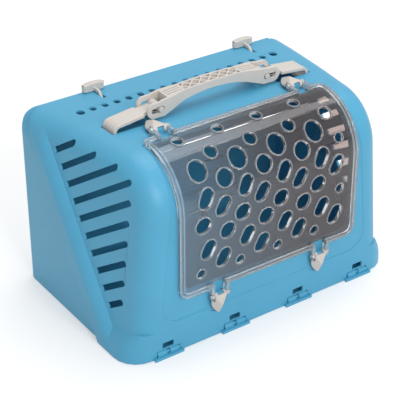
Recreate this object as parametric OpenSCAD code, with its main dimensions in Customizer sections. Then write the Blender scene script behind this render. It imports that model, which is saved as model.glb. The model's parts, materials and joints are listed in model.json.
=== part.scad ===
// Hard pet carrier: a base shell and a front shell that meet on a slanted seam,
// a clear ventilated door held by four petal latches, two rear edge latches
// and a lifting suitcase handle.
// Frame: +X to the right, +Y to the rear, +Z up.
// The origin is at the centre of the underside.

/* [Body] */
// Width over the rim
body_w = 416; // [380:1:460]
// Depth from the front face to the rear wall
body_d = 252; // [235:1:275]
// Height of the front shell at the top of its front corner
body_h = 255; // [235:1:280]
// Wall of both shells
wall = 3; // [2.5:0.1:3.5]
// Slope of the seam plane above the floor, in degrees
seam_tilt = 55.8; // [54:0.2:58]
// Distance from the front face to the seam, at the floor
seam_foot = 70.5; // [60:0.5:80]
// Radius of the front top corner
corner_r = 65; // [55:1:75]
// Radius of the side edges of the front shell
edge_r = 28; // [20:1:34]
// Radius of the crown of the top
crown_r = 2300; // [1800:50:3000]
// Radius of the upper corners, seen from the rear
shoulder_r = 42; // [34:1:50]
// Gap at the seam between the two shells
seam_gap = 0.4; // [0.3:0.05:0.8]

/* [Rim] */
// Depth of the rim along the draw direction
rim_depth = 35; // [28:1:40]
// How far the rim stands outside the side walls at its foot
rim_step = 12; // [8:0.5:15]
// Radius of the rounded shoulder of the rim
rim_r = 19; // [14:1:20]
// Draft of the side walls, in degrees
draft = 9.4; // [6:0.2:11]
// Height of the flared toe at the front corners
toe_h = 40; // [32:1:46]
// Plan radius of the toe
toe_r = 34; // [30:1:38]
// How far the toe draws in from its foot to its top
toe_draw = 19; // [16:0.5:22]

/* [Base] */
// Inset of the base cheeks from the rim
cheek_inset = 5; // [3:0.5:7]
// Radius of the upright rear edges
rear_edge_r = 12; // [8:1:18]
// Radius of the bottom rear edge and the top rear edge
sill_r = 14; // [10:1:18]
// Height of the lip that the front shell closes over
lip_h = 7; // [5:0.5:10]
// Thickness of the lip
lip_t = 2; // [1.6:0.1:2.4]
// Width of the short slits along the seam
dash_w = 1.2; // [1:0.1:1.8]
// Length of the short slits along the seam
dash_l = 7; // [5:0.5:9]

/* [Vents] */
// Side slots in each side wall
slot_count = 10; // [8:1:10]
// Pitch of the side slots up the seam
slot_pitch = 22.1; // [21:0.1:23]
// Width of a side slot
slot_w = 7.8; // [6:0.1:9]
// Height up the seam of the lowest side slot
slot_first = 42; // [38:1:46]
// Holes in the row along the rear of the top
vent_count = 18; // [12:1:20]
// Pitch of those holes
vent_pitch = 17.45; // [15:0.05:18]
// Width of those holes
vent_w = 8; // [6:0.5:9]
// Length of those holes, front to rear
vent_l = 11; // [9:0.5:13]
// Distance of the row from the rear wall
vent_back = 61.7; // [55:0.1:66]

/* [Door] */
// Width of the clear door
door_w = 270; // [240:1:280]
// Height of its lower edge
door_z = 75.5; // [70:0.5:84]
// Length of door on the flat of the top
door_top = 10; // [6:0.5:14]
// Thickness of the door
door_t = 3; // [2.4:0.1:3.4]
// Gap between the door and the shell
door_gap = 0.6; // [0.4:0.05:1]
// Radius of the corners of the door
door_r = 14; // [10:1:18]
// How far the door laps over the edge of the opening
door_lap = 11; // [9:0.5:14]
// Width of the raised ridges round the door
ridge_w = 3; // [2:0.1:3.4]
// Height of the raised ridges and the hole collars
ridge_h = 1.5; // [1:0.1:2]
// Wall of the collar round each oval hole
collar_t = 1.7; // [1.2:0.1:2.2]
// Column pitch of the oval holes
oval_pitch = 57.5; // [56:0.5:60]

/* [Recess] */
// Half width of the shallow recess round the door, at its foot
recess_hw = 157; // [150:0.5:160]
// Half width of the recess at its top
recess_top_hw = 137; // [136:0.5:146]
// Height of the foot of the recess
recess_z = 46; // [42:0.5:56]
// Depth of the recess and of the dimples under the petals
recess_t = 0.6; // [0.4:0.1:0.8]
// Diameter of the dimple under each petal
dimple_d = 30; // [26:0.5:34]

/* [Door latches] */
// Distance of the lower latches from the centre
latch_low_x = 78; // [60:1:100]
// Distance of the upper latches from the centre
latch_high_x = 102.5; // [90:0.5:110]
// Reach of the pin beyond the door edge
lug_reach = 10; // [9:0.5:12]
// Height of the pin over the shell
pin_rise = 5.6; // [5.2:0.1:6.4]
// Diameter of the latch pins
latch_pin_d = 4; // [3.4:0.1:4.4]
// Spacing of the two lugs, centre to centre
lug_pitch = 22; // [21:0.5:24]
// Thickness of a lug
lug_t = 4.6; // [4:0.1:5]
// Width of the ear on the shell
ear_w = 8; // [7:0.5:9]
// Width of the petal
petal_w = 21; // [18:0.5:24]
// Length of the petal from its pin to its tip
petal_l = 28; // [26:0.5:31]

/* [Bottom hinge] */
// Clips along the bottom front edge
clip_count = 4; // [4:2:4]
// Pitch of the clips
clip_pitch = 100; // [90:1:104]
// Width of a tongue of the base
tongue_w = 31; // [28:0.5:34]
// Height of the hinge bar over the floor
bar_z = 6; // [5.7:0.1:6.6]
// Diameter of the hinge bar
bar_d = 4.4; // [4:0.1:4.6]
// Outer diameter of the claws
claw_d = 8.4; // [8.2:0.1:8.8]
// Gap between the two claws of a tongue
claw_gap = 5; // [4:0.5:8]
// How far the lip of a tongue stands out of the front
tongue_lip = 4.5; // [3:0.5:6]
// Width of that lip
lip_w = 42; // [36:0.5:46]
// Width of the window over each clip
window_w = 16; // [12:0.5:20]
// Height of the window over each clip
window_h = 8; // [6:0.5:10]

/* [Rear latches] */
// Spacing of the two rear latches
rear_latch_span = 235; // [200:1:240]
// Both rear latches sit this far to the right of the middle
rear_latch_shift = 16.5; // [0:0.5:20]
// Width of the tab
tab_w = 31; // [26:0.5:36]
// Depth of the tab
tab_d = 9.5; // [8:0.5:10]
// Height of the tab over the rear edge
tab_h = 10; // [8:0.5:12]
// Radius of the arch of the tab, seen from the front
tab_arch_r = 60; // [50:1:90]
// Distance of the pivot in front of the seam, along the top
pivot_back = 23.3; // [23:0.1:25]
// Drop of the pivot under the roof
pivot_drop = 4.2; // [4:0.1:5]
// Thickness of the web
web_t = 3.2; // [2.6:0.1:4]
// Thickness of each boss beside the web
web_boss_t = 3.5; // [3:0.1:4]
// Diameter of the web's trunnions
trunnion_d = 5; // [4.4:0.1:5.6]

/* [Handle] */
// Distance between the two cross pins
grip_span = 160; // [150:1:164]
// Height of the cross pins over the top
grip_rise = 12.5; // [12:0.5:15]
// Rise of the grip's top over its ends
grip_arch = 6; // [3:0.5:10]
// Height of the underside of the grip's middle over the cross pins
finger_rise = 6; // [4:0.5:8]
// Width of the grip at its middle
grip_w = 20; // [18:0.5:22]
// Height of the eye round each cross pin
eye_d = 20; // [18:0.5:21]
// Width over the fork at each end of the grip
fork_w = 27; // [26:0.5:30]
// Thickness of a fork cheek
fork_t = 3.6; // [3:0.1:4]
// Diameter of the cross pins
cross_pin_d = 7.4; // [6.6:0.1:7.8]
// Width of the straps
strap_w = 26; // [24:0.5:28]
// Thickness of the straps
strap_t = 4; // [3.4:0.1:4.4]
// Distance of the strap roots from the centre
strap_root_x = 143; // [141:0.5:146]
// Travel of the grip when it is lifted
grip_lift = 18; // [10:0.5:18]
// Distance of the handle behind the front face
handle_y = 127.5; // [122:0.5:132]

/* [Hidden] */
$fn = 48;
eps = 0.01;
fit = 0.06;            // radial clearance of a running fit
side_fit = 0.35;       // clearance beside a moving piece
shell_blue = [0.38, 0.69, 0.84];
clip_beige = [0.80, 0.77, 0.74];
clear_grey = [0.75, 0.82, 0.86, 0.45];
steel_grey = [0.72, 0.70, 0.68];

front_y = -body_d / 2;
rear_y = body_d / 2;
seam_y = front_y + seam_foot;
rim_hw = body_w / 2;
foot_hw = rim_hw - rim_step;
cheek_hw = rim_hw - cheek_inset;
floor_gap = 0.5;       // the front shell hangs this far over the floor
far = 600;             // larger than the object

// Centre of the front top corner, in Y and Z.
corner_y = front_y + corner_r;
corner_z = body_h - corner_r;

// Distance of a point (y, z) in front of the seam plane, and its height up the seam.
function draw_of(y, z) = -(y - seam_y) * sin(seam_tilt) + z * cos(seam_tilt);
function rise_of(y, z) = (y - seam_y) * cos(seam_tilt) + z * sin(seam_tilt);
// Height of the crowned top at y.
function top_z(y) = body_h - crown_r + sqrt(pow(crown_r, 2) - pow(max(0, y - corner_y), 2));
// Half width of the drafted side walls at a distance n in front of the seam.
function side_hw(n) = foot_hw - (n - rim_depth) * tan(draft);

// Turns local (x, up the seam, draw direction) into the object's frame.
module seam_frame() translate([0, seam_y, 0]) rotate([seam_tilt, 0, 0]) children();
module in_front_of_seam(gap) seam_frame() translate([-far, -far, gap]) cube([2 * far, 2 * far, far]);
module behind_seam(gap) seam_frame() translate([-far, -far, -far - gap]) cube([2 * far, 2 * far, far]);
module above(z) translate([-far, -far, z]) cube([2 * far, 2 * far, far]);
module both_sides() {
    children();
    mirror([1, 0, 0]) children();
}
// A round bar along X.
module bar_x(d, length) rotate([0, 90, 0]) cylinder(d = d, h = length, center = true);
// A round bar along Y.
module bar_y(d, length) rotate([90, 0, 0]) cylinder(d = d, h = length, center = true);

// ---- Skin of the front shell --------------------------------------------
// Stations along the side profile: up the face, round the corner, over the top.
// Each is [y, z, normal y, normal z].
arc_steps = 10;
face_foot = 70;        // the skin runs on below the floor and is cut there
function face_station(z) = [front_y, z, -1, 0];
function arc_station(a) = [corner_y - corner_r * cos(a), corner_z + corner_r * sin(a), -cos(a), sin(a)];
function top_station(y) = let (b = asin((y - corner_y) / crown_r))
    [y, body_h - crown_r + crown_r * cos(b), sin(b), cos(b)];
stations = concat(
    [face_station(-face_foot)],
    [for (i = [0 : arc_steps]) arc_station(90 * i / arc_steps)],
    [for (i = [1 : 3]) top_station(corner_y + (rear_y + 12 - corner_y) * i / 3)]
);
edge_steps = 6;
skin_back = -45;       // the skin runs on behind the seam and is cut there

// One ring of the skin across the shell at a station, inset by t.
function skin_ring(st, t) =
    let (cy = st[0] - edge_r * st[2], cz = st[1] - edge_r * st[3])
    let (n = draw_of(cy, cz), s = rise_of(cy, cz))
    let (along = -st[2] * sin(seam_tilt) + st[3] * cos(seam_tilt))
    let (lean = atan(tan(draft) * along))
    let (cx = side_hw(n) - edge_r / cos(lean), r = edge_r - t)
    let (back_x = side_hw(skin_back) - t / cos(draft))
    let (ey = cy + r * sin(lean) * st[2], ez = cz + r * sin(lean) * st[3])
    let (back = rise_of(ey, ez))
    let (back_y = seam_y + back * cos(seam_tilt) - skin_back * sin(seam_tilt))
    let (back_z = back * sin(seam_tilt) + skin_back * cos(seam_tilt))
    let (right = [for (i = [0 : edge_steps]) let (a = lean + (90 - lean) * i / edge_steps)
        [cx + r * cos(a), cy + r * sin(a) * st[2], cz + r * sin(a) * st[3]]])
    concat(
        [[back_x, back_y, back_z]], right,
        [for (i = [edge_steps : -1 : 0]) [-right[i][0], right[i][1], right[i][2]]],
        [[-back_x, back_y, back_z]]
    );
// A closed solid from a list of rings of the same length, each running clockwise as seen
// from the far end of the list. Its first and last points lie on the closing face.
module ring_solid(rings) {
    m = len(rings[0]);
    k = len(rings);
    points = [for (ring = rings) for (p = ring) p];
    walls = [for (j = [0 : k - 2]) for (i = [0 : m - 1])
        let (i2 = (i + 1) % m) [j * m + i, j * m + i2, (j + 1) * m + i2, (j + 1) * m + i]];
    caps = [
        [for (i = [m - 2 : -1 : 1]) i], [m - 1, m - 2, 1, 0],
        [for (i = [1 : m - 2]) (k - 1) * m + i],
        [(k - 1) * m, (k - 1) * m + 1, k * m - 2, k * m - 1]
    ];
    polyhedron(points, concat(walls, caps), convexity = 6);
}
module front_skin(t) ring_solid([for (st = stations) skin_ring(st, t)]);

// ---- Rim of the front shell ---------------------------------------------
// Rings at steps of the draw direction; the last ones round the rim's shoulder.
shoulder_steps = 5;
rim_straight = rim_depth - rim_r;
rim_levels = concat(
    [[-6, 0], [rim_straight, 0]],
    [for (i = [1 : shoulder_steps]) let (a = 78 * i / shoulder_steps)
        [rim_straight + rim_r * sin(a), rim_r * (1 - cos(a))]]
);
// Height up the seam at which the crowned top meets a plane n in front of the seam.
function plane_y(n, z) = seam_y + (z * cos(seam_tilt) - n) / sin(seam_tilt);
function rim_top(n) = let (flat_y = plane_y(n, body_h), near_y = plane_y(n, top_z(flat_y)))
    let (y = plane_y(n, top_z(near_y))) rise_of(y, top_z(y));
rim_low = -70;         // the rim runs on below the floor and is cut there
rim_sink = 0.15;       // keeps the rim's top just under the skin
function rim_ring(n, inset) =
    let (a_x = shoulder_r - inset, a_s = shoulder_r / sin(seam_tilt) - inset)
    let (top = rim_top(n) - rim_sink)
    let (right = [for (i = [0 : 6]) let (a = 15 * i)
        [rim_hw - inset - a_x + a_x * cos(a), top - a_s + a_s * sin(a), n]])
    concat(
        [[rim_hw - inset, rim_low, n]], right,
        [for (i = [6 : -1 : 0]) [-right[i][0], right[i][1], n]],
        [[-(rim_hw - inset), rim_low, n]]
    );
module rim_solid(t)
    seam_frame() translate([0, -t / sin(seam_tilt), 0])
        ring_solid([for (i = [len(rim_levels) - 1 : -1 : 0]) let (level = rim_levels[i])
            rim_ring(level[0] - (level[0] > 0 ? t : 0), level[1] + t)]);

// ---- Toe at the front corners -------------------------------------------
// Levels of the toe: [height, inset].
toe_levels = concat([[-8, 0]], [for (u = [0.1, 0.3, 0.45, 0.6, 0.75, 0.88, 1]) [u * toe_h, toe_draw * pow(u, 2.2)]]);
toe_back = seam_y + 30;
toe_sink = 0.3;        // keeps the toe's front just behind the face
// One level ring of the toe at a height z, drawn in by inset, inside the wall by t.
function toe_ring(z, inset, t) =
    let (r = toe_r - inset - t, hw = rim_hw - inset - t)
    let (cx = rim_hw - toe_r, cy = front_y + toe_sink + toe_r - inset)
    let (right = [for (i = [0 : 5]) let (a = 18 * i) [cx + r * cos(a), cy - r * sin(a), z]])
    concat(
        [[hw, toe_back, z]], right,
        [for (i = [5 : -1 : 0]) [-right[i][0], right[i][1], z]],
        [[-hw, toe_back, z]]
    );
module toe_solid(t) ring_solid([for (level = toe_levels) toe_ring(level[0] - t, level[1], t)]);

// ---- Door frame ----------------------------------------------------------
// A band that follows the face, the corner and the top, between two radii round
// the corner's centre. It is 2 * hw wide, starts at the height z0 and runs on over the
// top by top_len. Its outer corners are round.
module wrap_band(hw, z0, top_len, r_in, r_out, r_end) {
    round_top = min(r_end, max(0.5, top_len - 1));
    intersection() {
        rotate([90, 0, 90]) linear_extrude(2 * hw, center = true) band_profile(z0, top_len, r_in, r_out);
        rotate([90, 0, 0]) linear_extrude(2 * far, center = true) translate([0, z0]) round_end(hw, r_end);
        linear_extrude(far) translate([0, corner_y + top_len]) mirror([0, 1]) round_end(hw, round_top);
    }
}
module band_profile(z0, top_len, r_in, r_out) translate([corner_y, corner_z]) {
    intersection() {
        difference() {
            circle(r = r_out, $fn = 120);
            circle(r = r_in, $fn = 120);
        }
        translate([-2 * r_out, 0]) square(2 * r_out);
    }
    translate([-r_out, -(corner_z - z0)]) square([r_out - r_in, corner_z - z0]);
    if (top_len > 0) translate([0, r_in]) square([top_len, r_out - r_in]);
}
// A long upright sheet whose lower corners are round.
module round_end(hw, r) {
    translate([-hw, r]) square([2 * hw, far]);
    translate([-(hw - r), 0]) square([2 * (hw - r), far]);
    for (x = [-1, 1]) translate([x * (hw - r), r]) circle(r = r);
}
// Places a piece on the door's surface: x across, u up the face and round the corner.
// Its Z axis points out of the door and its Y axis runs up the door.
module on_wrap(x, u, r) {
    a = u > corner_z ? (u - corner_z) / r * 180 / PI : 0;
    translate([x, corner_y, min(u, corner_z)]) rotate([90 - a, 0, 0]) translate([0, 0, r]) children();
}
// Places a latch: its X axis is the pin, its Y axis runs from the door to the petal's tip,
// and its Z axis points out of the shell. The origin is on the shell's surface.
module at_latch(low, side) {
    if (low) translate([side * latch_low_x, front_y, door_z - lug_reach]) rotate([90, 0, 0]) mirror([0, 1, 0]) children();
    else translate([side * latch_high_x, corner_y + door_top + lug_reach, body_h]) children();
}
module at_latches() for (low = [true, false]) for (side = [-1, 1]) at_latch(low, side) children();

// ---- Bottom hinge --------------------------------------------------------
bar_y0 = front_y + bar_d / 2 + 0.2;
notch_w = tongue_w + 2;
notch_top = bar_z + claw_d / 2 + 1;
function clip_x(i) = (i - (clip_count - 1) / 2) * clip_pitch;
module at_clips() for (i = [0 : clip_count - 1]) translate([clip_x(i), bar_y0, bar_z]) children();

// ---- Strap geometry --------------------------------------------------------
handle_yc = front_y + handle_y;
pin_z = body_h + grip_rise;
root_z = body_h - 8;
root_bore = 5;
strap_run = norm([strap_root_x - grip_span / 2, pin_z - root_z]);
strap_slope = asin((pin_z - root_z) / strap_run);
strap_turn = asin((pin_z - root_z + grip_lift) / strap_run) - strap_slope;
tongue_clear = 0.5;
strap_neck = fork_w - 2 * fork_t - 2 * tongue_clear;

// ======================= Base shell =======================================
// Side profile of the base, inset by t, drawn with Y across and Z up.
back_top = top_z(rear_y - sill_r);
module side_outline(t) {
    mid = rear_y - sill_r;
    r = sill_r - t;
    translate([-far, t]) square([far + mid, back_top - 2 * t]);
    translate([-far, sill_r]) square([far + rear_y - t, back_top - 2 * sill_r]);
    for (z = [sill_r, back_top - sill_r]) translate([mid, z]) circle(r = r);
}
// Outline of the base seen from the rear, inset by t, drawn with X across and Z up.
module rear_outline(t) {
    hw = cheek_hw - t;
    r = shoulder_r - t;
    top = base_top - t;
    translate([-hw, -t]) square([2 * hw, top - r + t]);
    translate([-(hw - r), -t]) square([2 * (hw - r), top + t]);
    for (x = [-1, 1]) translate([x * (hw - r), top - r]) circle(r = r);
}
// Outline of the base seen from above, inset by t, drawn with X across and Y up.
module plan_outline(t) {
    hw = cheek_hw - t;
    r = rear_edge_r - t;
    translate([-hw, -far]) square([2 * hw, far + rear_y - t - r]);
    translate([-(hw - r), -far]) square([2 * (hw - r), far + rear_y - t]);
    for (x = [-1, 1]) translate([x * (hw - r), rear_y - t - r]) circle(r = r);
}
module base_volume(t) intersection() {
    rotate([90, 0, 90]) linear_extrude(2 * far, center = true) side_outline(t);
    rotate([90, 0, 0]) linear_extrude(2 * far, center = true) rear_outline(t);
    linear_extrude(2 * far, center = true) plan_outline(t);
}
base_top = back_top + 3;
plate_hw = rim_hw - wall - 20;
plate_front = bar_y0 + bar_z + 3;
plate_r = 26;
module floor_plate() {
    translate([-plate_hw, plate_front + plate_r, 0]) cube([2 * plate_hw, seam_y + 20 - plate_front - plate_r, wall]);
    translate([-(plate_hw - plate_r), plate_front, 0]) cube([2 * (plate_hw - plate_r), plate_r + eps, wall]);
    for (x = [-1, 1]) translate([x * (plate_hw - plate_r), plate_front + plate_r, 0]) cylinder(r = plate_r, h = wall);
}
// One tongue with its two claws; its origin is on the hinge bar.
tongue_h = 3.6;
lip_gap = 0.35;        // gap between the lip and the front face
module tongue() {
    reach = plate_front + plate_r - bar_y0;
    front = bar_y0 - front_y;
    translate([-tongue_w / 2, -(lip_gap + 1 + front), -bar_z]) cube([tongue_w, lip_gap + 1 + front + reach, tongue_h]);
    translate([-lip_w / 2, -(tongue_lip + front), -bar_z]) cube([lip_w, tongue_lip - lip_gap, tongue_h]);
    claw_l = (tongue_w - claw_gap) / 2;
    for (x = [-1, 1]) translate([x * (claw_gap + claw_l) / 2, 0, 0]) bar_x(claw_d, claw_l);
}
module claw_cut() {
    bar_x(bar_d + 2 * fit, tongue_w + 2);
    rotate([-35, 0, 0]) translate([-tongue_w / 2 - 1, -bar_d * 0.4, 0]) cube([tongue_w + 2, bar_d * 0.8, claw_d]);
}
// Lip that stands forward into the front shell, inside its rim and under its roof: a hoop seen
// from the rear, inset by t, drawn with X across and Z up.
lip_top = back_top - wall - side_fit;
lip_root = 5;          // length of the hoop's root behind the seam
module lip_outline(t) {
    hw = cheek_hw - wall + lip_t - t;
    r = shoulder_r - wall - t;
    translate([-hw, wall]) square([2 * hw, lip_top - t - r - wall]);
    translate([-(hw - r), wall]) square([2 * (hw - r), lip_top - t - wall]);
    for (x = [-1, 1]) translate([x * (hw - r), lip_top - t - r]) circle(r = r);
}
module seam_lip() difference() {
    union() {
        intersection() {
            rotate([90, 0, 0]) linear_extrude(2 * far, center = true) lip_outline(0);
            seam_slab(-lip_root, lip_h);
        }
        intersection() {
            base_volume(wall / 2);
            above(wall);
            seam_slab(-lip_root, -seam_gap);
        }
    }
    rotate([90, 0, 0]) linear_extrude(2 * far + 2, center = true) lip_hollow();
}
module lip_hollow() {
    lip_outline(lip_t);
    translate([-(cheek_hw - wall), 0]) square([2 * (cheek_hw - wall), wall + 10]);
}
module seam_slab(from, to) seam_frame() translate([-far, -far, from]) cube([2 * far, 2 * far, to - from]);
// Short slits across the seam, in each cheek.
module seam_dashes() both_sides() seam_frame()
    for (i = [0 : slot_count]) translate([cheek_hw - wall - 1, slot_first + i * slot_pitch - dash_l / 2, -dash_w - seam_gap])
        cube([wall + 2, dash_l, 2 * dash_w]);

module base_shell() color(shell_blue) difference() {
    union() {
        difference() {
            intersection() {
                base_volume(0);
                behind_seam(seam_gap);
            }
            base_volume(wall);
        }
        seam_lip();
        floor_plate();
        at_clips() tongue();
    }
    at_clips() claw_cut();
    seam_dashes();
}

// ======================= Front shell ======================================
// The slots end along a line beside the front, a line under the top, and a short one between.
function slot_end(s) = let (top_line = (body_h - s * sin(seam_tilt)) / cos(seam_tilt))
    min(39 + 0.72 * s, 159, top_line - 22);
module side_slots() both_sides() seam_frame() for (i = [0 : slot_count - 1])
    let (s = slot_first + i * slot_pitch, n0 = rim_depth + 3, n1 = slot_end(s) - slot_w / 2) {
        translate([foot_hw - 60, s - slot_w / 2, n0]) cube([90, slot_w, n1 - n0]);
        translate([foot_hw - 15, s, n1]) bar_x(slot_w, 90);
    }
module top_vents() for (i = [0 : vent_count - 1])
    let (x = (i - (vent_count - 1) / 2) * vent_pitch, grow = (i == 0 || i == vent_count - 1) ? 2 : 0)
    translate([x, rear_y - vent_back, body_h - 25]) {
        for (y = [-1, 1]) translate([0, y * (vent_l - vent_w) / 2, 0]) cylinder(d = vent_w + grow, h = 40);
        translate([-(vent_w + grow) / 2, -(vent_l - vent_w) / 2, 0]) cube([vent_w + grow, vent_l - vent_w, 40]);
    }
// Ear that carries a latch pin; origin and axes as at_latch.
ear_r = latch_pin_d / 2 + 1.3;
ear_root = 2.4;        // depth to which the ear is rooted in the wall
module latch_ear() {
    translate([0, 0, pin_rise]) bar_x(2 * ear_r, ear_w);
    translate([-ear_w / 2, -ear_r, -ear_root]) cube([ear_w, 2 * ear_r, pin_rise + ear_root]);
}
// Shallow recess round the door; its sides draw in towards the top. The door covers its end.
recess_r = 25;
module recess_outline() {
    polygon([[-(recess_hw - recess_r), recess_z], [recess_hw - recess_r, recess_z], [recess_hw, recess_z + recess_r],
        [recess_top_hw, body_h], [-recess_top_hw, body_h], [-recess_hw, recess_z + recess_r]]);
    for (x = [-1, 1]) translate([x * (recess_hw - recess_r), recess_z + recess_r]) circle(r = recess_r);
}
module door_recess() intersection() {
    rotate([90, 0, 90]) linear_extrude(2 * far, center = true)
        band_profile(recess_z - 1, door_top / 2, corner_r - recess_t, corner_r + 12);
    rotate([90, 0, 0]) linear_extrude(2 * far, center = true) recess_outline();
}
module petal_dimples() at_latches()
    translate([0, petal_l * 0.45, -2 * recess_t]) cylinder(d = dimple_d, h = 10);
// Long opening for a strap, and the bores for its trunnions.
strap_slot_in = strap_root_x - 46;
strap_slot_out = strap_root_x + 7;
module strap_openings() both_sides() {
    translate([strap_slot_in, handle_yc - strap_w / 2 - 0.8, body_h - 14])
        cube([strap_slot_out - strap_slot_in, strap_w + 1.6, 30]);
}
module strap_bosses() both_sides() for (y = [-1, 1])
    translate([strap_root_x, handle_yc + y * (strap_w / 2 + 0.8 + 2), root_z]) {
        bar_y(root_bore + 5, 4);
        translate([-(root_bore + 5) / 2, -2, 0]) cube([root_bore + 5, 4, body_h - wall / 2 - root_z]);
    }
module strap_bores() both_sides() translate([strap_root_x, handle_yc, root_z]) bar_y(root_bore + 2 * fit, strap_w + 30);
// Rear latch: pivot, slot and bosses.
seam_top_y = plane_y(0, top_z(rear_y - sill_r));
latch_pivot_y = seam_top_y - pivot_back;
latch_pivot_z = top_z(latch_pivot_y) - wall - pivot_drop;
web_slot_w = web_t + 1.8;
web_slot_front = 5.5;
web_slot_back = 11;
function rear_latch_x(side) = rear_latch_shift + side * rear_latch_span / 2;
module at_rear_latches() for (side = [-1, 1]) translate([rear_latch_x(side), 0, 0]) children();
module web_slots() at_rear_latches() translate([-web_slot_w / 2, latch_pivot_y - web_slot_front, body_h - 30])
    cube([web_slot_w, web_slot_front + web_slot_back, 60]);
module web_bosses() at_rear_latches() for (x = [-1, 1])
    translate([x * (web_slot_w + web_boss_t) / 2, latch_pivot_y, latch_pivot_z]) {
        bar_x(trunnion_d + 4, web_boss_t);
        translate([-web_boss_t / 2, -(trunnion_d + 4) / 2, 0]) cube([web_boss_t, trunnion_d + 4, wall + pivot_drop - 1]);
    }
module web_bores() at_rear_latches() translate([0, latch_pivot_y, latch_pivot_z])
    bar_x(trunnion_d + 2 * fit, web_slot_w + 4 * web_boss_t);
module front_shell_body() difference() {
    union() {
        intersection() {
            union() {
                front_skin(0);
                rim_solid(0);
                toe_solid(0);
            }
            in_front_of_seam(0);
            above(floor_gap);
        }
    }
    front_skin(wall);
    rim_solid(wall);
    toe_solid(wall);
}
module front_shell() color(shell_blue) difference() {
    union() {
        difference() {
            front_shell_body();
            wrap_band(door_w / 2 - door_lap, door_z + door_lap, 0, corner_r - 12, corner_r + 12, 6);
            door_recess();
            petal_dimples();
            side_slots();
            at_clips() translate([-notch_w / 2, -20, -20]) cube([notch_w, 40, 20 + notch_top - bar_z]);
            at_clips() translate([-window_w / 2, -20, notch_top - bar_z + 1.5]) cube([window_w, 40, window_h]);
            strap_openings();
        }
        at_latches() latch_ear();
        at_clips() bar_x(bar_d, notch_w + 2 * wall);
        strap_bosses();
        web_bosses();
    }
    top_vents();
    web_slots();
    web_bores();
    strap_bores();
    at_latches() translate([0, 0, pin_rise]) bar_x(latch_pin_d, ear_w + 1);
}

// ======================= Door =============================================
door_hw = door_w / 2;
door_in = corner_r + door_gap;
door_out = door_in + door_t;
// Rows of oval holes: [height up the door, column offset, width, height, tilt].
small_oval = 11.5;
edge_band = 34;        // holes nearer to the door's edge than this are small ones
oval_rows = [
    [103.5, 11, small_oval, small_oval, 0],
    [116, -14, 17, 26, -28],
    [134.5, 21.5, 17, 26, -28],
    [152, -8, 21, 21, 0],
    [170, 14, 21, 21, 0],
    [188, -15, 17, 26, -28],
    [204.5, 19, 17, 26, -28],
    [221.5, -8, 22, 22, 0],
    [239, 17, 23, 26, 0],
    [256, -13, 16, 16, 0],
    [284, 15, 13, 13, 0]
];
module oval(w, h, tilt) rotate([0, 0, tilt]) {
    if (h > w) translate([-w / 2, -(h - w) / 2]) square([w, h - w]);
    for (y = h > w ? [-1, 1] : [0]) translate([0, y * (h - w) / 2]) circle(d = w, $fn = 32);
}
module oval_at(row, x) {
    near = abs(x) > door_hw - edge_band && row[0] < 230;
    w = near ? small_oval : row[2];
    h = near ? small_oval : row[3];
    on_wrap(x, row[0], door_out) oval_part(w, h, near ? 0 : row[4], $hole);
}
module oval_part(w, h, tilt, hole) {
    if (hole) translate([0, 0, -door_t - 4]) linear_extrude(door_t + 4 + ridge_h + 3) oval(w, h, tilt);
    else translate([0, 0, -door_t * 0.7]) linear_extrude(door_t * 0.7 + ridge_h) oval(w + 2 * collar_t, h + 2 * collar_t, tilt);
}
module ovals(hole) for (row = oval_rows) for (i = [-3 : 3])
    let (x = row[1] + i * oval_pitch) if (abs(x) < door_hw - 26) oval_at(row, x, $hole = hole);
module ridge(outer, width) difference() {
    wrap_band(door_hw - outer, door_z + outer, door_top - outer, door_out - 1, door_out + ridge_h, door_r - outer);
    wrap_band(door_hw - outer - width, door_z + outer + width, door_top - outer - width,
        door_out - 2, door_out + ridge_h + 1, door_r - outer - width);
}
// A pair of lugs at a latch; origin and axes as at_latch.
lug_r = latch_pin_d / 2 + 2.4;
module lug_pair() for (x = [-1, 1]) translate([x * lug_pitch / 2, 0, 0]) {
    translate([0, 0, pin_rise]) bar_x(2 * lug_r, lug_t);
    translate([-lug_t / 2, -lug_reach - 8, door_gap + 0.2]) cube([lug_t, lug_reach + 8, pin_rise + 2.2]);
}
throat = latch_pin_d + 0.4;
pin_low = [front_y - pin_rise, door_z - lug_reach];
pin_high = [corner_y + door_top + lug_reach, body_h + pin_rise];
// Slope of the line between the two pin axes, from the vertical.
lift_a = atan2(pin_high[0] - pin_low[0], pin_high[1] - pin_low[1]);
// Bores of the lugs, each open along the way its pin leaves it.
module lug_cuts(turn) for (x = [-1, 1]) translate([x * lug_pitch / 2, 0, pin_rise]) {
    bar_x(latch_pin_d + 2 * fit, lug_t + 2);
    rotate([turn, 0, 0]) translate([-lug_t / 2 - 1, -throat / 2, 0]) cube([lug_t + 2, throat, lug_r + 6]);
}
module door_notch() translate([-(lug_pitch - lug_t) / 2, -lug_reach - 8.5, -5]) cube([lug_pitch - lug_t, 20, 20]);
module door_panel() color(clear_grey) difference() {
    union() {
        difference() {
            union() {
                wrap_band(door_hw, door_z, door_top, door_in, door_out, door_r);
                ridge(0, ridge_w);
                ridge(ridge_w + 2.2, ridge_w * 0.7);
                ovals(false);
            }
            at_latches() door_notch();
        }
        at_latches() lug_pair();
    }
    ovals(true);
    for (side = [-1, 1]) {
        at_latch(true, side) lug_cuts(-180 + lift_a);
        at_latch(false, side) lug_cuts(-90 - lift_a);
    }
}

// ======================= Latches ==========================================
// Petal latch; origin and axes as at_latch.
fork_hw = (lug_pitch - lug_t) / 2 - side_fit;
ear_clear = ear_w / 2 + side_fit;
hump = 4.4;            // height of the hollow over the ear, above the pin
leaf_z = 2.2;          // clearance of the leaf over the shell
lug_sweep = 3.6;       // clearance round the lugs
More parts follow.
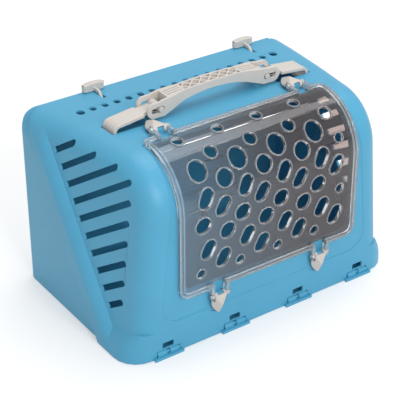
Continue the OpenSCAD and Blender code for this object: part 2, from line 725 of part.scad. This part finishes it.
// Half width of the leaf at a share v of its length from the pin.
function leaf_hw(v) = petal_w / 2 * sin(38 + 136 * v);
module leaf() linear_extrude(1.4) polygon([
    for (side = [1, -1]) for (i = side > 0 ? [0 : 9] : [9 : -1 : 0]) [side * leaf_hw(i / 9), petal_l * i / 9]
]);
// The leaf with its crest, which runs over the ear from the pin to the tip.
module petal_blade() hull() {
    translate([0, 0, leaf_z]) leaf();
    translate([0, 0, pin_rise]) bar_x(2 * lug_r - 0.4, 2 * fork_hw);
    translate([0, -1, pin_rise + hump + 1]) sphere(d = 2.6, $fn = 16);
    translate([0, petal_l * 0.46, pin_rise + hump + 1.4]) sphere(d = 2, $fn = 16);
    translate([0, petal_l * 0.93, leaf_z + 2.6]) sphere(d = 2, $fn = 16);
}
module petal_latch() difference() {
    petal_blade();
    translate([-ear_clear, -10, -5]) cube([2 * ear_clear, 10 + ear_r + side_fit, 5 + pin_rise + hump]);
    translate([0, 0, pin_rise]) bar_x(latch_pin_d + 2 * fit, 40);
    // Room for the lugs beside the fork, also where the open door folds over an open petal.
    for (x = [-1, 1]) translate([x * (fork_hw + petal_w), 0, pin_rise]) bar_x(2 * (lug_r + lug_sweep), 2 * petal_w);
}
module latch_pin() translate([0, 0, pin_rise]) bar_x(latch_pin_d, lug_pitch + lug_t);
module door_latch_low_left() color(clip_beige) at_latch(true, -1) petal_latch();
module door_latch_low_right() color(clip_beige) at_latch(true, 1) petal_latch();
module door_latch_high_left() color(clip_beige) at_latch(false, -1) petal_latch();
module door_latch_high_right() color(clip_beige) at_latch(false, 1) petal_latch();
module latch_pin_low_left() color(steel_grey) at_latch(true, -1) latch_pin();
module latch_pin_low_right() color(steel_grey) at_latch(true, 1) latch_pin();
module latch_pin_high_left() color(steel_grey) at_latch(false, -1) latch_pin();
module latch_pin_high_right() color(steel_grey) at_latch(false, 1) latch_pin();

// ---- Rear latch ------------------------------------------------------------
tab_y = seam_top_y - 4.3;
tab_z = top_z(tab_y) + 0.8;
web_bend = 9.5;
web_rise = tab_z - latch_pivot_z + 3;
module rear_latch(side) translate([rear_latch_x(side), 0, 0]) {
    // Tab with rounded ends and an arched top.
    intersection() {
        union() {
            translate([-(tab_w - tab_d) / 2, tab_y, tab_z]) cube([tab_w - tab_d, tab_d, tab_h]);
            for (x = [-1, 1]) translate([x * (tab_w - tab_d) / 2, tab_y + tab_d / 2, tab_z]) cylinder(d = tab_d, h = tab_h);
        }
        translate([0, tab_y + tab_d / 2, tab_z + tab_h - tab_arch_r]) bar_y(2 * tab_arch_r, 2 * tab_d);
    }
    // Cranked web from the tab, over the top and down through the slot to the pivot.
    translate([0, latch_pivot_y, latch_pivot_z]) rotate([90, 0, 90]) linear_extrude(web_t, center = true)
        polygon([[-1.6, 1.6], [web_bend - 1.2, web_rise + 2.2], [tab_y - latch_pivot_y + 3, web_rise + 2.2],
            [tab_y - latch_pivot_y + 3, web_rise - 2.3], [web_bend + 0.6, web_rise - 2.3], [2.4, -1.2]]);
    translate([0, latch_pivot_y, latch_pivot_z]) bar_x(trunnion_d + 3, web_t);
    translate([0, latch_pivot_y, latch_pivot_z]) bar_x(trunnion_d, web_slot_w + 2 * web_boss_t - 1);
}
module rear_latch_left() color(clip_beige) rear_latch(-1);
module rear_latch_right() color(clip_beige) rear_latch(1);

// ======================= Handle ===========================================
grip_hx = grip_span / 2;
pin_slot_w = cross_pin_d + 0.9;
// The cross pins move outwards in their slots as the grip is lifted.
pin_travel = strap_root_x - grip_hx - sqrt(pow(strap_run, 2) - pow(pin_z - root_z + grip_lift, 2));
pin_slot_in = 0.6;
pin_slot_out = pin_travel + 0.6;
fork_end = grip_hx + pin_slot_out + eye_d / 2;
top_half = grip_hx + 6;
top_r = (pow(top_half, 2) + pow(grip_arch, 2)) / (2 * grip_arch);
grip_top = pin_z + eye_d / 2 + grip_arch;
under_half = grip_hx - 5;
under_drop = finger_rise + eye_d / 2;
under_r = (pow(under_half, 2) + pow(under_drop, 2)) / (2 * under_drop);
// The grip seen from the front: a slightly arched top, a hollow for the fingers and
// an eye for each pin.
module grip_side() rotate([90, 0, 0]) linear_extrude(60, center = true) {
    difference() {
        intersection() {
            translate([0, grip_top - top_r]) circle(r = top_r, $fn = 360);
            translate([-grip_hx, pin_z - eye_d / 2]) square([2 * grip_hx, 60]);
        }
        translate([0, pin_z + finger_rise - under_r]) circle(r = under_r, $fn = 360);
    }
    for (x = [-1, 1]) translate([x * grip_hx, pin_z]) {
        circle(d = eye_d);
        translate([x > 0 ? 0 : -pin_slot_out, -eye_d / 2]) square([pin_slot_out, eye_d]);
        translate([x * pin_slot_out, 0]) circle(d = eye_d);
    }
}
// The grip seen from above: it widens towards the fork at each end.
flare_out = grip_hx - 16;
flare_in = grip_hx - 36;
module grip_plan() linear_extrude(far) polygon([
    for (side = [1, -1]) for (i = side > 0 ? [0 : 5] : [5 : -1 : 0])
        let (x = [flare_in, flare_out, fork_end, fork_end, flare_out, flare_in][i])
        let (hw = [grip_w, fork_w, fork_w, fork_w, fork_w, grip_w][i] / 2)
        [side * x, (i < 3 ? -1 : 1) * hw]
]);
fork_gap = fork_w - 2 * fork_t;
fork_in = eye_d / 2 + 1;
module handle_grip() color(clip_beige) translate([0, handle_yc, 0]) difference() {
    intersection() {
        grip_side();
        grip_plan();
    }
    for (x = [-1, 1]) {
        translate([x > 0 ? grip_hx - fork_in : -fork_end - 1, -fork_gap / 2, pin_z - 20])
            cube([fork_end - grip_hx + fork_in + 1, fork_gap, 60]);
        for (dx = [-pin_slot_in, pin_slot_out]) translate([x * (grip_hx + dx), 0, pin_z]) bar_y(pin_slot_w, 60);
        translate([x * (grip_hx + (pin_slot_out - pin_slot_in) / 2), 0, pin_z])
            cube([pin_slot_out + pin_slot_in, 60, pin_slot_w], center = true);
    }
    grip_lattice();
    grip_grooves();
}
// What lies within depth under the grip's top, over the width w.
module under_top(depth, w) translate([0, 0, grip_top - top_r]) rotate([90, 0, 0]) difference() {
    cylinder(r = top_r + 1, h = w, center = true, $fn = 360);
    cylinder(r = top_r - depth, h = w + 2, center = true, $fn = 360);
}
lattice_half = 42;
lattice_cell = 14;
lattice_rib = 2;
lattice_depth = 3.6;
// Crossed ribs left standing in a pocket on the middle of the grip.
module grip_lattice() intersection() {
    under_top(lattice_depth, grip_w - 5);
    difference() {
        translate([-lattice_half, -grip_w, pin_z]) cube([2 * lattice_half, 2 * grip_w, 60]);
        for (i = [-3 : 3]) for (a = [-45, 45])
            translate([i * lattice_cell, 0, pin_z + 30]) rotate([0, 0, a]) cube([lattice_rib, 60, 61], center = true);
    }
}
// Grooves that leave four ribs from the lattice to each fork.
groove_w = 2.2;
groove_pitch = 5;
groove_end = grip_hx - fork_in - 2.5;
module grip_grooves() for (x = [-1, 1]) for (y = [-1, 0, 1]) translate([0, y * groove_pitch, 0]) intersection() {
    under_top(2, groove_w);
    translate([x > 0 ? lattice_half + 3 : -groove_end, -5, pin_z]) cube([groove_end - lattice_half - 3, 10, 60]);
}

// Strap: root trunnions, a ribbed bend, a flat run and a narrow tongue round the cross pin.
root_eye = root_bore + 4.2;
upright_x = 4.2;       // outer face of the upright over the root
bend_r = 9;
bend_x = upright_x - bend_r;
bend_z = 7;
tongue_l = fork_end - grip_hx + 3;
run_l = strap_root_x + bend_x - grip_hx - tongue_l;
// Slope of the flat run, which points at the cross pin.
run_tilt = let (dx = strap_root_x + bend_x - grip_hx, dz = pin_z - root_z - bend_z)
    atan2(dz, dx) - asin((bend_r - strap_t / 2) / norm([dx, dz]));
// Points in the frame of the bend and of the run, which is turned about the bend's centre.
function bend_point(r, a) = [bend_x + r * cos(a), bend_z + r * sin(a)];
function run_point(l, h) = [bend_x - l * cos(run_tilt) + h * sin(run_tilt), bend_z + l * sin(run_tilt) + h * cos(run_tilt)];
module in_run() translate([bend_x, 0, bend_z]) rotate([0, run_tilt, 0]) children();
// The right-hand strap seen from the front: the eye at the root, the upright, the bend
// in even steps, and the run. The origin is at the root.
bend_steps = 12;
module strap_side() {
    circle(d = root_eye);
    in_r = bend_r - strap_t;
    polygon(concat(
        [[upright_x, 0]],
        [for (i = [0 : bend_steps]) bend_point(bend_r, (90 - run_tilt) * i / bend_steps)],
        [run_point(run_l + tongue_l, bend_r), run_point(run_l + tongue_l, in_r)],
        [for (i = [bend_steps : -1 : 0]) bend_point(in_r, (90 - run_tilt) * i / bend_steps)],
        [[upright_x - strap_t, 0]]
    ));
}
// Grooves over the bend, which leave four ribs.
module bend_grooves() for (i = [-1 : 1]) translate([bend_x, i * 6.2, bend_z]) intersection() {
    rotate([90, 0, 0]) difference() {
        cylinder(r = bend_r + 2, h = 1.6, center = true);
        cylinder(r = bend_r - 0.9, h = 3, center = true);
    }
    translate([0, -2, 0]) cube([20, 4, 20]);
}
module strap(side) translate([side * strap_root_x, handle_yc, root_z]) mirror([side > 0 ? 0 : 1, 0, 0]) {
    difference() {
        union() {
            rotate([90, 0, 0]) linear_extrude(strap_w, center = true) strap_side();
            translate([-(strap_root_x - grip_hx), 0, pin_z - root_z]) bar_y(cross_pin_d + 4, strap_neck - 0.6);
        }
        // Sides of the tongue.
        in_run() for (y = [-1, 1]) translate([-run_l - tongue_l - 10, y * (strap_neck / 2 + 10) - 10, -20])
            cube([tongue_l + 10, 20, 60]);
        bend_grooves();
        translate([-(strap_root_x - grip_hx), 0, pin_z - root_z]) bar_y(cross_pin_d, strap_neck + 1);
    }
    bar_y(root_bore, strap_w + 8);
}
module handle_strap_left() color(clip_beige) strap(-1);
module handle_strap_right() color(clip_beige) strap(1);
module cross_pin(side) translate([side * grip_hx, handle_yc, pin_z]) bar_y(cross_pin_d, fork_w + 2.4);
module cross_pin_left() color(clip_beige) cross_pin(-1);
module cross_pin_right() color(clip_beige) cross_pin(1);

base_shell();
front_shell();
door_panel();
door_latch_low_left();
door_latch_low_right();
door_latch_high_left();
door_latch_high_right();
latch_pin_low_left();
latch_pin_low_right();
latch_pin_high_left();
latch_pin_high_right();
rear_latch_left();
rear_latch_right();
handle_grip();
handle_strap_left();
handle_strap_right();
cross_pin_left();
cross_pin_right();
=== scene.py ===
"""Looks of the pet carrier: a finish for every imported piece, and the camera, lamps and floor."""

import json
import math

import bmesh
import bpy
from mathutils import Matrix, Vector
from mathutils.kdtree import KDTree


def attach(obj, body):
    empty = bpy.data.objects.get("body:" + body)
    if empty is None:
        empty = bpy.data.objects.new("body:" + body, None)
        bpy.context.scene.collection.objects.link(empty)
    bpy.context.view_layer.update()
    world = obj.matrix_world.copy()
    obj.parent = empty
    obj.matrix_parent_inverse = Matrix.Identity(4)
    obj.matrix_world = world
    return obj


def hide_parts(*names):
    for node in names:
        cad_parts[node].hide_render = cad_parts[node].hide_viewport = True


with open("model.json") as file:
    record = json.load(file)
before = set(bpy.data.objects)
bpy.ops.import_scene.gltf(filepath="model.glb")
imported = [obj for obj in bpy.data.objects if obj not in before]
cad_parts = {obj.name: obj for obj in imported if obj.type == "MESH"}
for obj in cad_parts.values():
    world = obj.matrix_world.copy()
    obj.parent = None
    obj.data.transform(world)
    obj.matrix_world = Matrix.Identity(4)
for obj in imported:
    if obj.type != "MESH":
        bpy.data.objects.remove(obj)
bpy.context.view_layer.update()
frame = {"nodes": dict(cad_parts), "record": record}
NODE_BODY = {node: body for body, nodes in frame["record"]["behaviour"]["bodies"].items() for node in nodes}
MM = 0.001
DOOR_HALF = 0.135      # half width of the door

# ---- Camera of the photograph, in metres and degrees ----------------------
CAMERA_AT = Vector((-0.8674, -1.2182, 1.0039))
CAMERA_AZIMUTH = 34.98
CAMERA_ELEVATION = 30.95
FOCAL_PIXELS = 1343.2
IMAGE_SIDE = 400
SENSOR_MM = 36.0


def make_camera():
    data = bpy.data.cameras.new("camera")
    data.sensor_width = SENSOR_MM
    data.lens = FOCAL_PIXELS / IMAGE_SIDE * SENSOR_MM
    data.clip_end = 20
    camera = bpy.data.objects.new("camera", data)
    camera.location = CAMERA_AT
    camera.rotation_euler = (math.radians(90 - CAMERA_ELEVATION), 0, -math.radians(CAMERA_AZIMUTH))
    bpy.context.scene.collection.objects.link(camera)
    bpy.context.scene.camera = camera


# ---- Materials --------------------------------------------------------------
def new_material(name):
    material = bpy.data.materials.new(name)
    material.use_nodes = True
    return material, material.node_tree.nodes, material.node_tree.links


def shader_of(nodes):
    return next(n for n in nodes if n.type == "BSDF_PRINCIPLED")


def add(nodes, kind, **values):
    """A node with its sockets set by name."""
    node = nodes.new(kind)
    for key, value in values.items():
        node.inputs[key.replace("_", " ")].default_value = value
    return node


MOTTLE_BAND = (0.3, 0.7)   # heights of the cloud noise where the darker and the paler colour are reached
POLISH_BAND = (-0.05, 0.07)   # how far the roughness of moulded plastic goes below and above its value
HAZE_SPREAD = 0.06     # how much rougher clear plastic gets in places
PAINTED_SHADE_END = DOOR_HALF * 0.4    # place across the door where the painted shade colour of the right is reached


def moulded(name, colour, mottle, roughness, grain, grain_size):
    """Satin moulded plastic: faint flow mottle in the colour, a fine spark-eroded grain and
    uneven polish. grain is the bump distance and grain_size the pitch of the grain, in metres."""
    material, nodes, links = new_material(name)
    shader = shader_of(nodes)
    shader.inputs["IOR"].default_value = 1.49
    place = nodes.new("ShaderNodeTexCoord").outputs["Object"]
    clouds = add(nodes, "ShaderNodeTexNoise", Scale=14.0, Detail=3.0, Roughness=0.55)
    links.new(place, clouds.inputs["Vector"])
    ramp = nodes.new("ShaderNodeValToRGB")
    ramp.color_ramp.elements[0].position = MOTTLE_BAND[0]
    ramp.color_ramp.elements[1].position = MOTTLE_BAND[1]
    ramp.color_ramp.elements[0].color = (*[c * (1 - mottle) for c in colour], 1)
    ramp.color_ramp.elements[1].color = (*[min(1, c * (1 + mottle)) for c in colour], 1)
    links.new(clouds.outputs["Fac"], ramp.inputs["Fac"])
    links.new(ramp.outputs["Color"], shader.inputs["Base Color"])
    polish = add(nodes, "ShaderNodeTexNoise", Scale=55.0, Detail=4.0, Roughness=0.6)
    links.new(place, polish.inputs["Vector"])
    spread = add(nodes, "ShaderNodeMapRange")
    spread.inputs["To Min"].default_value = roughness + POLISH_BAND[0]
    spread.inputs["To Max"].default_value = roughness + POLISH_BAND[1]
    links.new(polish.outputs["Fac"], spread.inputs["Value"])
    links.new(spread.outputs["Result"], shader.inputs["Roughness"])
    pores = add(nodes, "ShaderNodeTexNoise", Scale=1 / grain_size, Detail=3.0, Roughness=0.6)
    links.new(place, pores.inputs["Vector"])
    bump = add(nodes, "ShaderNodeBump", Strength=0.6, Distance=grain)
    links.new(pores.outputs["Fac"], bump.inputs["Height"])
    links.new(bump.outputs["Normal"], shader.inputs["Normal"])
    return material


def clear_plastic(name, painted_lit_left, painted_shade_right, clearness, haze, shadow_tint):
    """Clear moulded plastic whose colour holds painted light and shade: the left colour, a painted light,
    tints it and what shows through it at the door's left end, and the right colour, a painted shade, does so
    from a point part way across on; haze is its least roughness. Lamps shine through it, dimmed by
    shadow_tint, so that the cabin is lit."""
    material, nodes, links = new_material(name)
    shader = shader_of(nodes)
    shader.inputs["IOR"].default_value = 1.5
    shader.inputs["Transmission Weight"].default_value = clearness
    place = nodes.new("ShaderNodeTexCoord").outputs["Object"]
    across = nodes.new("ShaderNodeSeparateXYZ")
    links.new(place, across.inputs["Vector"])
    share = add(nodes, "ShaderNodeMapRange")
    share.inputs["From Min"].default_value = -DOOR_HALF
    share.inputs["From Max"].default_value = PAINTED_SHADE_END
    links.new(across.outputs["X"], share.inputs["Value"])
    # painted light and shade: a ramp across the door from the painted light of the left to the painted shade
    # of the right
    ramp = nodes.new("ShaderNodeValToRGB")
    ramp.color_ramp.elements[0].color = (*painted_lit_left, 1)
    ramp.color_ramp.elements[1].color = (*painted_shade_right, 1)
    links.new(share.outputs["Result"], ramp.inputs["Fac"])
    links.new(ramp.outputs["Color"], shader.inputs["Base Color"])
    clouds = add(nodes, "ShaderNodeTexNoise", Scale=18.0, Detail=3.0)
    links.new(place, clouds.inputs["Vector"])
    spread = add(nodes, "ShaderNodeMapRange")
    spread.inputs["To Min"].default_value = haze
    spread.inputs["To Max"].default_value = haze + HAZE_SPREAD
    links.new(clouds.outputs["Fac"], spread.inputs["Value"])
    links.new(spread.outputs["Result"], shader.inputs["Roughness"])
    ripple = add(nodes, "ShaderNodeTexNoise", Scale=45.0, Detail=2.0)
    links.new(place, ripple.inputs["Vector"])
    bump = add(nodes, "ShaderNodeBump", Strength=0.25, Distance=0.0004)
    links.new(ripple.outputs["Fac"], bump.inputs["Height"])
    links.new(bump.outputs["Normal"], shader.inputs["Normal"])
    let_through = add(nodes, "ShaderNodeBsdfTransparent", Color=(*shadow_tint, 1))
    path = nodes.new("ShaderNodeLightPath")
    mix = nodes.new("ShaderNodeMixShader")
    links.new(path.outputs["Is Shadow Ray"], mix.inputs["Fac"])
    links.new(shader.outputs["BSDF"], mix.inputs[1])
    links.new(let_through.outputs["BSDF"], mix.inputs[2])
    out = next(n for n in nodes if n.type == "OUTPUT_MATERIAL")
    links.new(mix.outputs["Shader"], out.inputs["Surface"])
    return material


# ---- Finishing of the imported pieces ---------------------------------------
SHELL_EDGE = 0.5 * MM
DOOR_EDGE = 0.6 * MM
PIN_EDGE = 0.3 * MM
GRIP_EDGE = 0.35 * MM
SMALL_PIECE_EDGE = 0.5 * MM
EDGE_SEGMENTS = 2
WELD = 1e-6            # corners closer than this, in metres, become one
FLAT_ANGLE = math.radians(0.6)     # faces that meet at less than this are joined
SHARP_ANGLE = math.radians(28)     # edges sharper than this are rounded
MOST_CORNERS = 6       # faces with more corners are cut into triangles before their edges are rounded
FOLD_ROUNDS = 9        # times the rounding is narrowed beside faces that it folds over
FOLD_AREA = 0.2e-6     # a face that folds over by less than this, in square metres, is left
FOLD_REACH = 1.6       # corners this many edge widths from a folded face are eased
FOLD_SHARE = 0.005     # and so is one that folds over by less than this share of itself
FOLD_EASE = 0.55       # what each round leaves of the rounding's width there
ROOM_SHARE = 1.3       # a rounded edge needs this many times its width beside it
LEAST_FACE = 0.12e-6   # edges of faces smaller than this, in square metres, stay sharp
# Centre of the front top corner, seen from the side, and the radius of the door's outer face there.
CORNER_Y = -0.061
CORNER_Z = 0.190
DOOR_OUTER = 0.0686
DOOR_THICK = 0.003
FACE_SLACK = 0.1 * MM  # how near a face's centre lies to a smooth face of the door to belong to it


def height_over_door(point):
    """Height of a point over the door's outer face, which follows the front, the corner and the top."""
    y = point.y - CORNER_Y
    z = point.z - CORNER_Z
    if z < 0:
        reach = -y
    elif y > 0:
        reach = z
    else:
        reach = math.hypot(y, z)
    return reach - DOOR_OUTER


def rim_faces(mesh):
    """Faces of the door's ridges, collars, lugs and the walls of its holes: all but its two smooth faces."""
    found = []
    for face in mesh.polygons:
        height = height_over_door(face.center)
        if abs(height) > FACE_SLACK and abs(height + DOOR_THICK) > FACE_SLACK:
            found.append(face)
    return found


def room_at(corner, edge):
    """Distance from a corner to the nearest smooth line that passes beside it on one of its faces,
    so that the rounding there, edge wide, doesn't run over that line."""
    nearest = 1.0
    for face in corner.link_faces:
        for line in face.edges:
            if corner in line.verts or line.calc_face_angle(0) > SHARP_ANGLE:
                continue
            start, end = (v.co for v in line.verts)
            along = (end - start).normalized()
            at = (corner.co - start).dot(along)
            if edge < at < (end - start).length - edge:
                nearest = min(nearest, (corner.co - start - along * at).length)
    return nearest


def folded_points(mesh):
    """Corners of the faces that cross themselves: their triangles cover more than the face does."""
    mesh.calc_loop_triangles()
    cover = [0.0] * len(mesh.polygons)
    for part in mesh.loop_triangles:
        cover[part.polygon_index] += part.area
    points = []
    for face in mesh.polygons:
        if cover[face.index] - face.area > max(FOLD_SHARE * face.area, FOLD_AREA):
            points += [mesh.vertices[v].co.copy() for v in face.vertices]
    return points


def ease_folds(piece, edge):
    """Narrows the rounding at the corners beside faces that it folds, round by round."""
    for _ in range(FOLD_ROUNDS):
        graph = bpy.context.evaluated_depsgraph_get()
        shaped = piece.evaluated_get(graph)
        points = folded_points(shaped.to_mesh())
        shaped.to_mesh_clear()
        if not points:
            return
        tree = KDTree(len(points))
        for index, point in enumerate(points):
            tree.insert(point, index)
        tree.balance()
        mesh = piece.data
        close = {v.index for v in mesh.vertices if tree.find(v.co)[2] < FOLD_REACH * edge}
        weights = mesh.attributes["bevel_weight_edge"].data
        for line in mesh.edges:
            if weights[line.index].value > 0 and close.intersection(line.vertices):
                weights[line.index].value *= FOLD_EASE
        mesh.update()


def finished(node, material, edge, ease=True):
    """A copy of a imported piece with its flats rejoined, its edges rounded by edge and smooth
    shading. It takes the node's place. ease narrows the rounding beside folded faces."""
    source = frame["nodes"][node]
    mesh = source.data.copy()
    mesh.name = node + "_finished"
    work = bmesh.new()
    work.from_mesh(mesh)
    bmesh.ops.remove_doubles(work, verts=work.verts, dist=WELD)
    bmesh.ops.dissolve_limit(work, angle_limit=FLAT_ANGLE, verts=work.verts, edges=work.edges,
                             use_dissolve_boundaries=False)
    for face in work.faces:
        face.smooth = True
    rounding = work.edges.layers.float.new("bevel_weight_edge")
    sharp = [line for line in work.edges if line.calc_face_angle(0) > SHARP_ANGLE
             and all(face.calc_area() > LEAST_FACE for face in line.link_faces)]
    corners = {corner for line in sharp for corner in line.verts}
    room = {corner: room_at(corner, edge) for corner in corners}
    for line in sharp:
        line[rounding] = min(1, *[room[corner] / (ROOM_SHARE * edge) for corner in line.verts])
    wide = [face for face in work.faces if len(face.verts) > MOST_CORNERS]
    bmesh.ops.triangulate(work, faces=wide, quad_method="BEAUTY", ngon_method="BEAUTY")
    work.to_mesh(mesh)
    work.free()
    piece = bpy.data.objects.new(node + "_finished", mesh)
    bpy.context.scene.collection.objects.link(piece)
    mesh.materials.clear()
    mesh.materials.append(material)
    bevel = piece.modifiers.new("rounded_edges", "BEVEL")
    bevel.width = edge
    bevel.segments = EDGE_SEGMENTS
    bevel.limit_method = "WEIGHT"
    bevel.use_clamp_overlap = False
    bevel.miter_outer = "MITER_ARC"
    bevel.loop_slide = False
    bevel.harden_normals = False
    if ease:
        ease_folds(piece, edge)
    shade = piece.modifiers.new("even_shading", "WEIGHTED_NORMAL")
    shade.keep_sharp = True
    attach(piece, NODE_BODY[node])
    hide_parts(node)
    return piece


# ---- Stage ------------------------------------------------------------------
FLOOR_HALF = 6.0
FLOOR_GLOW = 0.33
WORLD_STRENGTH = 0.66
# Name, place, aim, size and watts of each lamp.
LAMPS = [
    ("lamp_front", (-0.25, -2.0, 1.35), (0, 0, 0.12), (1.0, 1.0), 23.0),
    ("lamp_top", (0.5, 0.3, 2.0), (0, 0, 0.1), (1.4, 1.4), 15.0),
]


def make_floor():
    """A plain pale floor. It glows a little in view, in reflections and through clear pieces, and sheds
    no diffuse light on the part."""
    mesh = bpy.data.meshes.new("floor")
    corners = [(x * FLOOR_HALF, y * FLOOR_HALF, 0) for x, y in ((-1, -1), (1, -1), (1, 1), (-1, 1))]
    mesh.from_pydata(corners, [], [(0, 1, 2, 3)])
    floor = bpy.data.objects.new("floor", mesh)
    bpy.context.scene.collection.objects.link(floor)
    material, nodes, links = new_material("floor_white")
    shader = shader_of(nodes)
    shader.inputs["Base Color"].default_value = (0.70, 0.70, 0.70, 1)
    shader.inputs["Roughness"].default_value = 0.9
    shader.inputs["Specular IOR Level"].default_value = 0.1
    path = nodes.new("ShaderNodeLightPath")
    seen = path.outputs["Is Camera Ray"]
    for ray in ("Is Glossy Ray", "Is Transmission Ray"):
        either = nodes.new("ShaderNodeMath")
        either.operation = "MAXIMUM"
        links.new(seen, either.inputs[0])
        links.new(path.outputs[ray], either.inputs[1])
        seen = either.outputs[0]
    strength = nodes.new("ShaderNodeMath")
    strength.operation = "MULTIPLY"
    strength.inputs[1].default_value = FLOOR_GLOW
    links.new(seen, strength.inputs[0])
    shader.inputs["Emission Color"].default_value = (1, 1, 1, 1)
    links.new(strength.outputs[0], shader.inputs["Emission Strength"])
    mesh.materials.append(material)


def make_world():
    world = bpy.data.worlds.new("world")
    bpy.context.scene.world = world
    world.use_nodes = True
    nodes = world.node_tree.nodes
    back = next(n for n in nodes if n.type == "BACKGROUND")
    back.inputs["Color"].default_value = (1, 1, 1, 1)
    back.inputs["Strength"].default_value = WORLD_STRENGTH


def make_lamp(name, at, aim, size, watts):
    data = bpy.data.lights.new(name, "AREA")
    data.shape = "RECTANGLE"
    data.size, data.size_y = size
    data.energy = watts
    lamp = bpy.data.objects.new(name, data)
    lamp.location = at
    lamp.rotation_euler = (Vector(aim) - Vector(at)).to_track_quat("-Z", "Y").to_euler()
    bpy.context.scene.collection.objects.link(lamp)


# ---- Colours ------------------------------------------------------------------
BLUE = (0.074, 0.362, 0.568)
BEIGE = (0.600, 0.560, 0.520)
SHADOW_TINT = (0.16, 0.18, 0.19)
# Painted light and shade of the window: a bluish painted light of the lit cabin at the left, a dark brownish
# painted shade of the cabin at the right
WINDOW_PAINTED_LIT = (0.62, 0.76, 0.84)
WINDOW_PAINTED_SHADE = (0.46, 0.37, 0.35)
# Painted highlight of the door's collars and ridges: whiter than the window, with painted light at the left
# and painted shade at the right
RIM_PAINTED_HIGHLIGHT_LIT = (0.86, 0.93, 0.96)
RIM_PAINTED_HIGHLIGHT_SHADE = (0.84, 0.84, 0.85)

# ---- The whole scene ------------------------------------------------------------
make_camera()
blue = moulded("blue_plastic", BLUE, 0.035, 0.42, 0.00006, 0.0011)
beige = moulded("beige_plastic", BEIGE, 0.03, 0.45, 0.00005, 0.0009)
# the door's window, with painted light at its left and painted shade at its right
clear = clear_plastic("clear_plastic", WINDOW_PAINTED_LIT, WINDOW_PAINTED_SHADE, 0.94, 0.01, SHADOW_TINT)
# painted highlight: the rims are whiter and less clear than the window so that they shine
rim_painted_highlight = clear_plastic("clear_plastic_rim_painted_highlight", RIM_PAINTED_HIGHLIGHT_LIT, RIM_PAINTED_HIGHLIGHT_SHADE, 0.80, 0.01, SHADOW_TINT)
finished("base_shell", blue, SHELL_EDGE)
finished("front_shell", blue, SHELL_EDGE)
door = finished("door_panel", clear, DOOR_EDGE, ease=False)
# the door's ridges, collars, lugs and hole walls get the whiter plastic of the painted highlight
door.data.materials.append(rim_painted_highlight)
for face in rim_faces(door.data):
    face.material_index = 1
for node in frame["nodes"]:
    if node.startswith("latch_pin"):
        finished(node, beige, PIN_EDGE)
    elif node == "handle_grip":
        finished(node, beige, GRIP_EDGE)
    elif node not in ("base_shell", "front_shell", "door_panel"):
        finished(node, beige, SMALL_PIECE_EDGE)

make_floor()
make_world()
for lamp in LAMPS:
    make_lamp(*lamp)
bpy.context.scene.view_settings.view_transform = "Standard"
